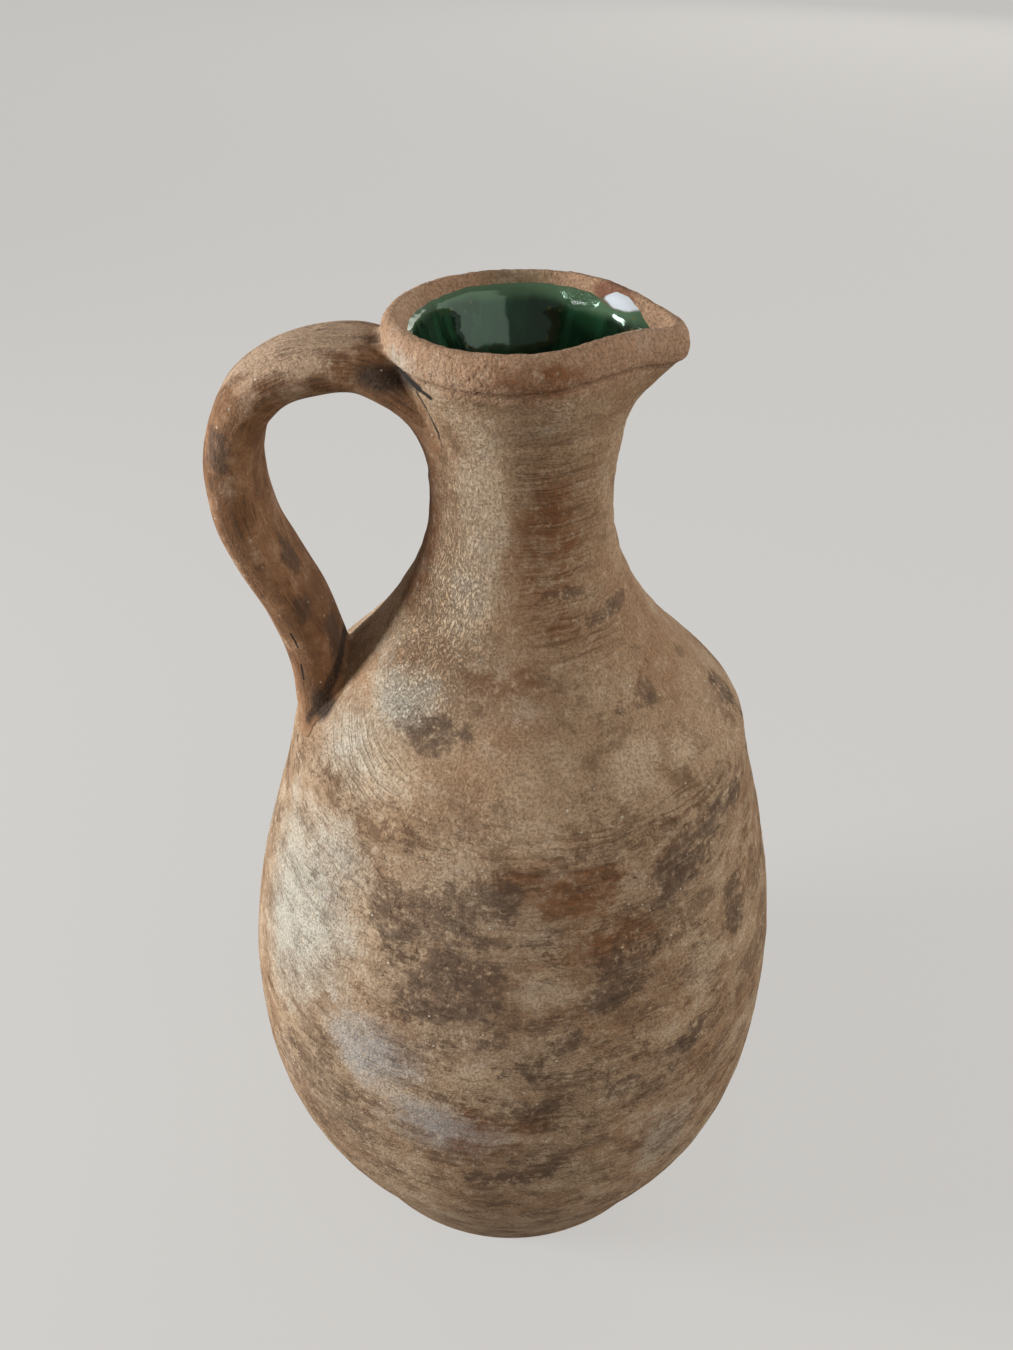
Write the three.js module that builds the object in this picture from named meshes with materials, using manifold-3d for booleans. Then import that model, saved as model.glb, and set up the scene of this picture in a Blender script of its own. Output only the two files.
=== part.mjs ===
import * as THREE from "three";
import { mergeVertices } from "three/addons/utils/BufferGeometryUtils.js";
import Module from "manifold-3d";

// A thrown earthenware jug, in millimetres.
// +Z is up, the origin is the centre of the flat foot, the handle stands on -X and the lip pours towards +X.

// Thrown body, sizes of the outside of the wall
const jugHeight = 340;
const footRadius = 73;
const footEdge = 1.5;
const footFlare = 0.32;
const bellyRadius = 96;
const bellyHeight = jugHeight * 0.269;
const shoulderRadius = 72.4;
const shoulderHeight = jugHeight * 0.622;
const shoulderTaper = 0.22;
const neckRadius = 26.1;
const neckHeight = jugHeight * 0.853;
const throatRadius = 34.1;
const wall = 6.5;
const floorThickness = 9;
const floorRound = 14;

// How long the wall keeps its direction on either side of each of those places, as a share of the stretch
const easeBelowBelly = 0.45;
const easeAboveBelly = 0.46;
const easeBelowShoulder = 0.32;
const easeAboveShoulder = 0.11;
const easeBelowNeck = 0.52;
const easeAboveNeck = 0.72;
const easeBelowThroat = 0.14;

// Run-out left by the wheel: heights, and how far the wall's centre stands off the foot's towards +X there
const runOut = [
  [0, 0],
  [bellyHeight, -0.8],
  [jugHeight * 0.574, 1.2],
  [jugHeight * 0.824, 0.7],
  [jugHeight, 0],
];

// Rolled collar round the mouth, drops measured down from the rim
const collarRadius = 36.2;
const collarDrop = 8.7;
const collarUndercut = 1.3;
const collarLedge = 0.95;
const collarBulge = 0.33;
const rimRadius = 32.7;
const bevelTopRadius = 31.3;
const bevelRadius = 28.4;
const bevelDrop = 6.4;

// Pouring lip, drawn out of the collar between two pinches
const lipTurn = THREE.MathUtils.degToRad(-8);
const lipSpread = THREE.MathUtils.degToRad(17);
const lipReach = 7.4;
const lipDroop = 1.8;
const lipDepth = 35;
const lipRise = 26;
const pinchTurn = THREE.MathUtils.degToRad(43);
const pinchSpread = THREE.MathUtils.degToRad(32);
const pinchDepth = 2.4;
const pinchLift = 1.2;

// Pulled strap handle, its centre line measured from the jug's axis, hung from the rim and stood on the shoulder
const strapWidth = 28.4;
const strapTopThickness = 13.6;
const strapFootThickness = 17.8;
const strapSquareness = 2.5;
const handleTopDrop = 21.6;
const handleTopHeight = jugHeight - handleTopDrop;
const handleCrownRise = 9.2;
const handleCrownHeight = handleTopHeight + handleCrownRise;
const handleCrownRadius = 43.5;
const handleReach = 78.3;
const handleReachDrop = 35;
const handleReachHeight = handleCrownHeight - handleReachDrop;
const handleFootRadius = 60.7;
const handleFootRise = 12.7;
const handleFootHeight = shoulderHeight + handleFootRise;
const handleRootDip = 3;
const handleRootLift = 1.6;
const handleTuck = 2;
const handleEnd = 15;
const easeAtCrown = 0.36;
const easeRoundCorner = 0.67;
const easeBelowReach = 0.34;
const easeAboveFoot = 0.49;
const rootSpread = 7;
const rootLength = 24;
const rootReach = 44;

// Luting clay at the handle's ends
const lutingPad = 1.6;
const lutingBead = 2.3;
const lutingHeight = 4.6;
const beadReach = 6.5;

// Glaze
const glazeThickness = 0.9;
const glazeEdgeDrop = 5;

// Gap left between pieces that touch
const clearance = 0.3;

// Facets: round the jug, up each curve of the wall's two faces, round the strap and along it
const turns = 48;
const outerSteps = [6, 8, 11, 7];
const innerSteps = [4, 4, 6, 5];
const collarSteps = 4;
const cornerSteps = 3;
const strapSides = 18;
const strapSteps = 38;
const beadSteps = 16;

const wasm = await Module();
wasm.setup();

// Curves and outlines. An outline is a list of points whose x is a radius and whose y is a height.

function bezier(...points) {
  return new THREE.CubicBezierCurve(...points.map(([radius, height]) => new THREE.Vector2(radius, height)));
}

// Foot to belly, belly to shoulder, shoulder to neck and neck to throat
function wallCurves() {
  const throatHeight = jugHeight - collarDrop - collarUndercut;
  const upperBelly = shoulderHeight - bellyHeight;
  const shoulder = neckHeight - shoulderHeight;
  const flare = throatHeight - neckHeight;
  return [
    bezier(
      [footRadius, 0],
      [footRadius + footFlare * bellyHeight * easeBelowBelly, bellyHeight * easeBelowBelly],
      [bellyRadius, bellyHeight * (1 - easeBelowBelly)],
      [bellyRadius, bellyHeight],
    ),
    bezier(
      [bellyRadius, bellyHeight],
      [bellyRadius, bellyHeight + upperBelly * easeAboveBelly],
      [
        shoulderRadius + shoulderTaper * upperBelly * easeBelowShoulder,
        shoulderHeight - upperBelly * easeBelowShoulder,
      ],
      [shoulderRadius, shoulderHeight],
    ),
    bezier(
      [shoulderRadius, shoulderHeight],
      [
        shoulderRadius - shoulderTaper * shoulder * easeAboveShoulder,
        shoulderHeight + shoulder * easeAboveShoulder,
      ],
      [neckRadius, neckHeight - shoulder * easeBelowNeck],
      [neckRadius, neckHeight],
    ),
    bezier(
      [neckRadius, neckHeight],
      [neckRadius, neckHeight + flare * easeAboveNeck],
      [throatRadius, throatHeight - flare * easeBelowThroat],
      [throatRadius, throatHeight],
    ),
  ];
}

function wallOutline(steps) {
  const points = wallCurves().flatMap((curve, index) => curve.getPoints(steps[index]).slice(1));
  const firstFlare = footFlare * footEdge;
  return [
    new THREE.Vector2(footRadius - footEdge, 0),
    new THREE.Vector2(footRadius + firstFlare, footEdge),
    ...points,
  ];
}

// A quarter of an ellipse between two points, which leaves the first one level or upright
function quarterRound([radius, height], [endRadius, endHeight], leavesLevel) {
  const bend = 0.5523;
  const level = (endRadius - radius) * bend;
  const upright = (endHeight - height) * bend;
  const handles = leavesLevel
    ? [[radius + level, height], [endRadius, endHeight - upright]]
    : [[radius, height + upright], [endRadius - level, endHeight]];
  return bezier([radius, height], ...handles, [endRadius, endHeight]);
}

// The rounded collar from the undercut up to the crest of the rim
function collarOutline() {
  const base = [throatRadius + collarLedge, jugHeight - collarDrop];
  const bulge = [collarRadius, jugHeight - collarDrop * (1 - collarBulge)];
  const lower = quarterRound(base, bulge, true).getPoints(collarSteps - 1);
  const upper = quarterRound(bulge, [rimRadius, jugHeight], false).getPoints(collarSteps);
  return [...lower, ...upper.slice(1)];
}

function outerOutline() {
  return [...wallOutline(outerSteps), ...collarOutline()];
}

// Points spread along the straight pieces of an outline, so that curves drawn round them stay smooth
function subdivide(outline, parts) {
  const dense = [outline[0]];
  for (let i = 1; i < outline.length; i += 1) {
    for (let part = 1; part <= parts; part += 1) {
      dense.push(outline[i - 1].clone().lerp(outline[i], part / parts));
    }
  }
  return dense;
}

// The radius at one height of the round body when a disc of the given radius is rolled along its outside,
// or along its inside for the inner face of the wall
function rolledRadius(outline, height, disc, side) {
  const reach = outline
    .filter((point) => Math.abs(point.y - height) < disc)
    .map((point) => side * point.x + Math.sqrt(disc ** 2 - (point.y - height) ** 2));
  return side * Math.max(...reach);
}

// The inner face, from the centre of the floor to the foot of the bevel
function innerOutline() {
  const dense = subdivide(wallOutline(outerSteps), 6);
  const radiusAt = (height) => rolledRadius(dense, height, wall, -1);
  const cornerHeight = floorThickness + floorRound;
  const cornerRadius = radiusAt(cornerHeight);
  const points = [new THREE.Vector2(0, floorThickness)];
  for (let step = 0; step < cornerSteps; step += 1) {
    const turn = (step / cornerSteps) * (Math.PI / 2);
    points.push(new THREE.Vector2(
      cornerRadius - floorRound * (1 - Math.sin(turn)),
      cornerHeight - floorRound * Math.cos(turn),
    ));
  }
  const heights = wallOutline(innerSteps).map((point) => point.y);
  const highest = jugHeight - bevelDrop - wall / 2;
  for (const height of heights) {
    if (height > cornerHeight + wall / 2 && height < highest) {
      points.push(new THREE.Vector2(radiusAt(height), height));
    }
  }
  return points;
}

// The inner face as far as a height on the bevel, whose slope runs on above the rim
function facedTo(height) {
  const foot = new THREE.Vector2(bevelRadius, jugHeight - bevelDrop);
  const top = new THREE.Vector2(bevelTopRadius, jugHeight);
  return [...innerOutline(), foot, foot.clone().lerp(top, (height - foot.y) / bevelDrop)];
}

// An open outline moved sideways by a distance, to the left of its direction of travel
function offsetOutline(outline, distance) {
  return outline.map((point, index) => {
    const before = outline[Math.max(index - 1, 0)];
    const after = outline[Math.min(index + 1, outline.length - 1)];
    const along = after.clone().sub(before).normalize();
    return new THREE.Vector2(Math.max(point.x - along.y * distance, 0), point.y + along.x * distance);
  });
}

// The shift of the wall's centre at a height
function runOutAt(height) {
  let shift = 0;
  for (let i = 1; i < runOut.length; i += 1) {
    const [low, lowShift] = runOut[i - 1];
    const [high, highShift] = runOut[i];
    shift += (highShift - lowShift) * THREE.MathUtils.smoothstep(height, low, high);
  }
  return shift;
}

// The shift of the clay where the lip is drawn out, by direction and height
function lipShift(x, y, height) {
  const rise = THREE.MathUtils.clamp((height - jugHeight + lipDepth) / lipRise, 0, 1) ** 3;
  const turn = Math.atan2(y, x) - lipTurn;
  const angle = Math.atan2(Math.sin(turn), Math.cos(turn));
  const bump = (centre, spread) => Math.exp(-(((angle - centre) / spread) ** 2));
  const pinch = bump(pinchTurn, pinchSpread) + bump(-pinchTurn, pinchSpread);
  return {
    out: rise * (lipReach * bump(0, lipSpread) - pinchDepth * pinch),
    up: rise * (pinchLift * pinch - lipDroop * bump(0, lipSpread)),
  };
}

// Solids

function toSolid(geometry) {
  const bare = geometry.index ? geometry.toNonIndexed() : geometry;
  bare.deleteAttribute("normal");
  bare.deleteAttribute("uv");
  const merged = mergeVertices(bare, 1e-4);
  const corners = merged.index.array;
  const triangles = [];
  for (let i = 0; i < corners.length; i += 3) {
    const [a, b, c] = corners.slice(i, i + 3);
    if (a !== b && b !== c && c !== a) {
      triangles.push(a, b, c);
    }
  }
  return new wasm.Manifold(new wasm.Mesh({
    numProp: 3,
    vertProperties: new Float32Array(merged.attributes.position.array),
    triVerts: new Uint32Array(triangles),
  }));
}

function toGeometry(solid) {
  const mesh = solid.getMesh();
  const geometry = new THREE.BufferGeometry();
  geometry.setAttribute("position", new THREE.BufferAttribute(mesh.vertProperties, 3));
  geometry.setIndex(new THREE.BufferAttribute(mesh.triVerts, 1));
  return geometry;
}

// A thrown solid from an outline that starts and ends on the axis, with the run-out and the lip
function thrown(outline) {
  const geometry = new THREE.LatheGeometry(outline, turns);
  geometry.rotateX(Math.PI / 2);
  const position = geometry.attributes.position;
  for (let i = 0; i < position.count; i += 1) {
    const x = position.getX(i);
    const y = position.getY(i);
    const z = position.getZ(i);
    const radius = Math.hypot(x, y);
    const shift = radius > 1e-6 ? lipShift(x, y, z) : { out: 0, up: 0 };
    const scale = radius > 1e-6 ? (radius + shift.out) / radius : 1;
    position.setXYZ(i, x * scale + runOutAt(z), y * scale, z + shift.up);
  }
  return toSolid(geometry);
}

// The jug filled in solid
function filledBody() {
  return thrown([new THREE.Vector2(0, 0), ...outerOutline(), new THREE.Vector2(0, jugHeight)]);
}

// The filled jug grown outwards by a distance, which trims what is joined to its wall
function grownBody(grow) {
  const outline = outerOutline();
  const dense = subdivide(outline, 6);
  const grown = outline.map(({ y }) => new THREE.Vector2(rolledRadius(dense, y, grow, 1), y));
  return thrown([new THREE.Vector2(0, 0), ...grown, new THREE.Vector2(0, jugHeight)]);
}

// The room inside, drawn in from the wall by a distance and open at a height
function cavity(inset, height) {
  const face = offsetOutline(facedTo(height), inset);
  const brim = face[face.length - 1];
  return thrown([...face, new THREE.Vector2(0, brim.y)]);
}

// The strap's centre line in the XZ plane, from inside the neck's wall to inside the shoulder's
function strapPath() {
  const at = ([radius, height]) => new THREE.Vector3(-radius, 0, height);
  const piece = (...points) => new THREE.CubicBezierCurve3(...points.map(at));
  const rootRadius = neckRadius - wall;
  const crownRun = (handleCrownRadius - rootRadius) * easeAtCrown;
  const crownDrop = handleCrownHeight - handleReachHeight;
  const footDrop = handleReachHeight - handleFootHeight;
  const path = new THREE.CurvePath();
  path.add(piece(
    [rootRadius, handleTopHeight - handleRootDip],
    [rootRadius + crownRun, handleTopHeight + handleRootLift],
    [handleCrownRadius - crownRun, handleCrownHeight],
    [handleCrownRadius, handleCrownHeight],
  ));
  path.add(piece(
    [handleCrownRadius, handleCrownHeight],
    [THREE.MathUtils.lerp(handleCrownRadius, handleReach, easeRoundCorner), handleCrownHeight],
    [handleReach, handleReachHeight + crownDrop * easeRoundCorner],
    [handleReach, handleReachHeight],
  ));
  path.add(piece(
    [handleReach, handleReachHeight],
    [handleReach, handleReachHeight - footDrop * easeBelowReach],
    [handleFootRadius, handleFootHeight + footDrop * easeAboveFoot],
    [handleFootRadius, handleFootHeight],
  ));
  path.add(piece(
    [handleFootRadius, handleFootHeight],
    [handleFootRadius, handleFootHeight - handleEnd / 3],
    [handleFootRadius - handleTuck / 2, handleFootHeight - (handleEnd * 2) / 3],
    [handleFootRadius - handleTuck, handleFootHeight - handleEnd],
  ));
  return path;
}

const path = strapPath();
const pathLength = path.getLength();

// One rounded-square section of the strap, grown by a distance that may differ from corner to corner
function strapRing(run, growAt) {
  const centre = path.getPointAt(run);
  const along = path.getTangentAt(run);
  const across = new THREE.Vector3(0, 1, 0);
  const outward = new THREE.Vector3().crossVectors(along, across);
  const fromRoot = Math.min(run, 1 - run) * pathLength;
  const spread = rootSpread * Math.exp(-((fromRoot / rootLength) ** 2));
  const halfWidth = (strapWidth + spread) / 2;
  const halfThickness = THREE.MathUtils.lerp(strapTopThickness, strapFootThickness, run) / 2;
  const corner = (value) => Math.sign(value) * Math.abs(value) ** (2 / strapSquareness);
  const ring = [];
  for (let side = 0; side < strapSides; side += 1) {
    const angle = (side / strapSides) * Math.PI * 2;
    const place = (grow) => centre.clone()
      .addScaledVector(across, (halfWidth + grow) * corner(Math.cos(angle)))
      .addScaledVector(outward, (halfThickness + grow) * corner(Math.sin(angle)));
    ring.push(place(growAt(place(0))));
  }
  return ring;
}

// A closed solid skinned over rings of equal count
function skin(rings) {
  const position = [];
  const triangle = (a, b, c) => position.push(...a.toArray(), ...b.toArray(), ...c.toArray());
  for (let i = 1; i < rings.length; i += 1) {
    const near = rings[i - 1];
    const far = rings[i];
    near.forEach((corner, side) => {
      const next = (side + 1) % near.length;
      triangle(corner, near[next], far[side]);
      triangle(near[next], far[next], far[side]);
    });
  }
  const cap = (ring, flip) => {
    const sum = ring.reduce((total, corner) => total.add(corner), new THREE.Vector3());
    const middle = sum.divideScalar(ring.length);
    ring.forEach((corner, side) => {
      const next = ring[(side + 1) % ring.length];
      triangle(middle, flip ? corner : next, flip ? next : corner);
    });
  };
  cap(rings[0], false);
  cap(rings[rings.length - 1], true);
  const geometry = new THREE.BufferGeometry();
  geometry.setAttribute("position", new THREE.Float32BufferAttribute(position, 3));
  return toSolid(geometry);
}

function strap(from, to, steps, growAt) {
  const rings = [];
  for (let step = 0; step <= steps; step += 1) {
    rings.push(strapRing(THREE.MathUtils.lerp(from, to, step / steps), growAt));
  }
  return skin(rings);
}

// How far a point lies off the wall, taken square to the wall's slope
const wallSamples = subdivide(outerOutline(), 4);

function offTheWall(point) {
  const radius = Math.hypot(point.x - runOutAt(point.z), point.y);
  const gaps = wallSamples.map((sample) => Math.hypot(sample.x - radius, sample.y - point.z));
  const nearest = Math.min(...gaps);
  const beside = wallSamples[gaps.indexOf(nearest)];
  return radius >= beside.x ? nearest : 0;
}

// The wad of clay between a strap end and the wall, with a bead round the strap that thins away from the wall
function luting(from, to) {
  const bead = (point) => clearance + lutingBead * Math.max(1 - offTheWall(point) / beadReach, 0);
  const wad = strap(from, to, beadSteps, bead);
  const strapSpace = strap(0, 1, strapSteps, () => clearance).subtract(grownBody(clearance + lutingPad));
  return wad.intersect(grownBody(lutingHeight)).subtract(grownBody(clearance)).subtract(strapSpace);
}

function makeVessel() {
  return filledBody().subtract(cavity(0, jugHeight + lipReach));
}

function makeHandle() {
  return strap(0, 1, strapSteps, () => 0).subtract(grownBody(lutingPad + clearance * 2));
}

function makeGlaze() {
  const edge = jugHeight - glazeEdgeDrop;
  return cavity(clearance, edge).subtract(cavity(clearance + glazeThickness, edge + glazeThickness * 2));
}

const endRun = rootReach / pathLength;

function piece(name, solid, finish) {
  const mesh = new THREE.Mesh(toGeometry(solid), new THREE.MeshStandardMaterial(finish));
  mesh.name = name;
  return mesh;
}

const jug = new THREE.Group();
jug.add(
  piece("vessel", makeVessel(), { color: 0xa8805c, roughness: 0.92, metalness: 0 }),
  piece("handle", makeHandle(), { color: 0x94694a, roughness: 0.92, metalness: 0 }),
  piece("upper_luting_clay", luting(0, endRun), { color: 0x7d5a40, roughness: 0.95, metalness: 0 }),
  piece("lower_luting_clay", luting(1 - endRun, 1), { color: 0x7d5a40, roughness: 0.95, metalness: 0 }),
  piece("glaze_lining", makeGlaze(), { color: 0x12352a, roughness: 0.12, metalness: 0 }),
);

export default jug;
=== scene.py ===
import math
from functools import reduce
from types import SimpleNamespace

import bpy
from mathutils import Matrix, Vector, noise


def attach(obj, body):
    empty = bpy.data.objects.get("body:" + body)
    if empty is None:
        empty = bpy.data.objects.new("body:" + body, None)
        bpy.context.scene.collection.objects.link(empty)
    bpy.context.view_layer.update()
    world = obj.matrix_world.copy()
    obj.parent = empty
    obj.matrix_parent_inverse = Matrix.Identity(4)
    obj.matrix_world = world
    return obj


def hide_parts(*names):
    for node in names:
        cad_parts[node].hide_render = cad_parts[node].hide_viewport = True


# A thrown earthenware jug with a pulled strap handle, green glaze inside and bare clay outside.
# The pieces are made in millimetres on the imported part's own sizes, and settled in metres at the end.

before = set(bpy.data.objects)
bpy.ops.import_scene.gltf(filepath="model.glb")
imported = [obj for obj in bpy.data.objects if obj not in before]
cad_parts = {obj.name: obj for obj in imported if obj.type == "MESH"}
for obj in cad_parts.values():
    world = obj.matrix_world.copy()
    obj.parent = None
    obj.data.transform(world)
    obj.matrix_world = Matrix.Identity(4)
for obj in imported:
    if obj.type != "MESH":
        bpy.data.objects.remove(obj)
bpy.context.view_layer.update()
bpy.ops.object.select_all(action="DESELECT")

MM = 0.001

# Thrown body, outside of the wall
JUG_HEIGHT = 340
FOOT_RADIUS = 73
FOOT_EDGE = 1.5
FOOT_FLARE = 0.32
FOOT_RING = 9
FOOT_RING_SLOPE = 1.5
FOOT_DISH = 0.7
BELLY_RADIUS = 96
BELLY_HEIGHT = JUG_HEIGHT * 0.269
SHOULDER_RADIUS = 72.4
SHOULDER_HEIGHT = JUG_HEIGHT * 0.622
SHOULDER_TAPER = 0.22
NECK_RADIUS = 26.1
NECK_HEIGHT = JUG_HEIGHT * 0.853
THROAT_RADIUS = 34.1
WALL = 6.5
FLOOR_THICKNESS = 9
FLOOR_ROUND = 14
MIDDLE_OF_FLOOR = 0.4
MIDDLE_OF_UNDERSIDE = 0.45

# Heights, and how far the wall is out of true along X there
RUN_OUT = (
    (0, 0),
    (BELLY_HEIGHT, -0.8),
    (JUG_HEIGHT * 0.574, 1.2),
    (JUG_HEIGHT * 0.824, 0.7),
    (JUG_HEIGHT, 0),
)

# How long the wall keeps its direction on either side of belly, shoulder, neck and throat
EASE_BELOW_BELLY = 0.45
EASE_ABOVE_BELLY = 0.46
EASE_BELOW_SHOULDER = 0.32
EASE_ABOVE_SHOULDER = 0.11
EASE_BELOW_NECK = 0.52
EASE_ABOVE_NECK = 0.72
EASE_BELOW_THROAT = 0.14

# Rolled collar and the bevel inside it
COLLAR_RADIUS = 36.2
COLLAR_DROP = 8.7
COLLAR_UNDERCUT = 1.3
COLLAR_LEDGE = 0.95
COLLAR_BULGE = 0.33
RIM_RADIUS = 32.7
BEVEL_TOP_RADIUS = 31.3
BEVEL_RADIUS = 28.4
BEVEL_DROP = 6.4
CREST_ROUND = 0.5
CREST_START = JUG_HEIGHT - 2

# Pouring lip and the two pinches beside it
LIP_TURN = math.radians(-8)
LIP_SPREAD = math.radians(17)
LIP_REACH = 7.4
LIP_DROOP = 1.8
LIP_DEPTH = 35
LIP_RISE = 26
PINCH_TURN = math.radians(43)
PINCH_SPREAD = math.radians(32)
PINCH_DEPTH = 2.4
PINCH_LIFT = 1.15

# Pulled strap handle
STRAP_WIDTH = 28.4
STRAP_TOP_THICKNESS = 13.6
STRAP_FOOT_THICKNESS = 17.8
STRAP_SQUARENESS = 2.5
HANDLE_TOP_HEIGHT = JUG_HEIGHT - 21.6
HANDLE_CROWN_HEIGHT = HANDLE_TOP_HEIGHT + 9.2
HANDLE_CROWN_RADIUS = 43.5
HANDLE_REACH = 78.3
HANDLE_REACH_HEIGHT = HANDLE_CROWN_HEIGHT - 35
HANDLE_FOOT_RADIUS = 60.7
HANDLE_FOOT_HEIGHT = SHOULDER_HEIGHT + 12.7
HANDLE_ROOT_DIP = 3
HANDLE_ROOT_LIFT = 1.6
HANDLE_TUCK = 2
HANDLE_END = 15
EASE_AT_CROWN = 0.36
EASE_ROUND_CORNER = 0.67
EASE_BELOW_REACH = 0.34
EASE_ABOVE_FOOT = 0.49
ROOT_SPREAD = 7
ROOT_LENGTH = 24
ROOT_DEPTH = 3

# Luting clay: both names, the shares of the strap's length between which the joint lies, and how far it is
# drawn up the strap and up the wall: beside the strap, more at its outer face, more on its finger side, and
# where the finger side starts
FILLETS = (
    ("handle_root_clay", "upper_luting_clay", (0, 0.22), (2.6, 0, 13, 0.2), (2, 0, 17, 0.2)),
    ("handle_foot_clay", "lower_luting_clay", (1, 0.78), (2.4, 11, 3, 0.3), (1.8, 13, 3, 0.3)),
)
OUTER_START = 0.1

# How deep its edges and its back are sunk in, and how thick its edges are
FILLET_TUCK = 0.12
FILLET_SINK = 1.2
FILLET_BACK_DEPTH = 1.5
FILLET_WALL_EDGE = 0.3
FILLET_STRAP_EDGE = 0.4

# Glaze
GLAZE_THICKNESS = 0.9
GLAZE_BOND = 0.3
GLAZE_EDGE_DROP = 5
GLAZE_RISE = 2.7
GLAZE_FADE = 1.3
GLAZE_OVERRUN = 0.2
GLAZE_TUCK = 1.7
GLAZE_EDGE_ZONE = JUG_HEIGHT - 15
INNER_WALL_TOP = JUG_HEIGHT - 10
BLOB_TURN = math.radians(22.5)
BLOB_SPREAD = math.radians(18.5)
BLOB_LIFT = 1
BLOB_LEAN = 0.45
BLOB_RISE = 1.2
BLOB_LIFTED_HEIGHTS = (JUG_HEIGHT - 4, JUG_HEIGHT - 1.8)

# Unevenness left by the hands: depth and size of its lumps
LEAST_DEPTH = 0.3
DENTS = ((0.16, 7), (0.22, 19))
SWELLS = ((0.25, 55),)
GRAINS = ((0.16, 1.6), (0.14, 3.4))
FILLET_LUMPS = ((0.22, 3.5), (0.1, 1.5))

# Waves that run round: depth, pace round the wall or the strap, and length along it
SPIRAL_PITCH = 5
THROWING_WAVES = ((1, 1.3, 4.2), (0.5, 2.2, 1.9))
PULLED_WAVES = ((0.24, 3.6, 38), (0.12, 8, 16), (0.4, 1.1, 12))
PULLED_DEPTH = 0.25
GROOVE_WAVES = ((1.2, 1.6, 40),)
GLAZE_EDGE_WAVES = ((0.5, 3, 1), (0.3, 9.3, 1))

# Depth of the throwing waves, what neck and belly add to it, and the side of the neck that has most
RIDGES = 0.12
NECK_RIDGES = 0.2
BELLY_RIDGES = 0.06
RIDGED_SIDE = math.radians(-40)

# Heights over which the marks of each part come in or go out
FOOT_MARKS_IN = (FOOT_EDGE, 9)
BELLY_MARKS_IN = (60, 140)
NECK_MARKS_IN = (228, 262)
NECK_MARKS_OUT = (322, 329)
COLLAR_GRAINS_IN = (328, 331)

# Grooves left by the fingers and the rib: height, depth, and the direction and reach of their deepest part
GROOVES = (
    (315.4, 0.5, -75, 30),
    (305, 0.45, -78, 26),
    (298.6, 0.5, -80, 24),
    (290.6, 0.3, -70, 30),
    (282.4, 0.5, -72, 34),
    (275.5, 0.5, -66, 30),
    (266, 0.6, -62, 30),
    (263.6, 0.4, -64, 26),
    (251, 0.35, -75, 34),
    (218.2, 0.5, -72, 40),
    (215, 0.8, -66, 44),
    (210.4, 0.5, -66, 34),
    (193, 0.5, -80, 36),
    (181, 0.4, -100, 50),
    (172, 0.45, -75, 40),
    (158, 0.4, -85, 50),
    (128, 0.4, -60, 50),
    (104, 0.4, -95, 60),
)
GROOVE_WIDTH = 0.95

# Scraped gouges: place, radius and depth
GOUGES = (
    ((13.2, -65.4, 220.6), 2.4, 0.9),
    ((-48.3, -44.7, 221.4), 3.2, 0.9),
    ((-45.5, -46.5, 219.5), 2.6, 0.7),
    ((68, -50, 172), 4.5, 0.8),
    ((40, 62, 190), 4, 0.8),
)

# Facets, and the distances between the rows of an outline
TURNS = 256
ROW = 1.25
NECK_ROW = 1.0
COLLAR_ROWS = 9
INNER_ROW = 7
FLOOR_ROWS = 6
BEVEL_ROW = 0.8
BEVEL_ROWS = 7
GLAZE_TURNS = 208
GLAZE_ROW = 3.4
GLAZE_BEVEL_ROW = 0.42
GLAZE_BEVEL_ROWS = 11
STRAP_ROW = 0.5
STRAP_RINGS = 300
STRAP_SIDES = 96
FILLET_SIDES = 144
FILLET_PARTS = 28
WELD = 0.01


# Curves and outlines. An outline is a list of (radius, height).

def bezier(points, share):
    rest = 1 - share
    weights = (rest ** 3, 3 * rest ** 2 * share, 3 * rest * share ** 2, share ** 3)
    return tuple(sum(w * p[axis] for w, p in zip(weights, points)) for axis in (0, 1))


def chained(points):
    """Curves that follow on: a point, then two handles and a point for each curve."""
    return [points[start:start + 4] for start in range(0, len(points) - 1, 3)]


def stepped(points, spacing):
    rough = [bezier(points, i / 20) for i in range(21)]
    length = sum(math.dist(a, b) for a, b in zip(rough, rough[1:]))
    steps = math.ceil(length / spacing)
    return [bezier(points, i / steps) for i in range(1, steps + 1)]


def turn_from(direction, angle):
    """At most half a turn either way."""
    return math.remainder(angle - direction, 2 * math.pi)


def smoothstep(value, low, high):
    share = min(max((value - low) / (high - low), 0), 1)
    return share * share * (3 - 2 * share)


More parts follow.
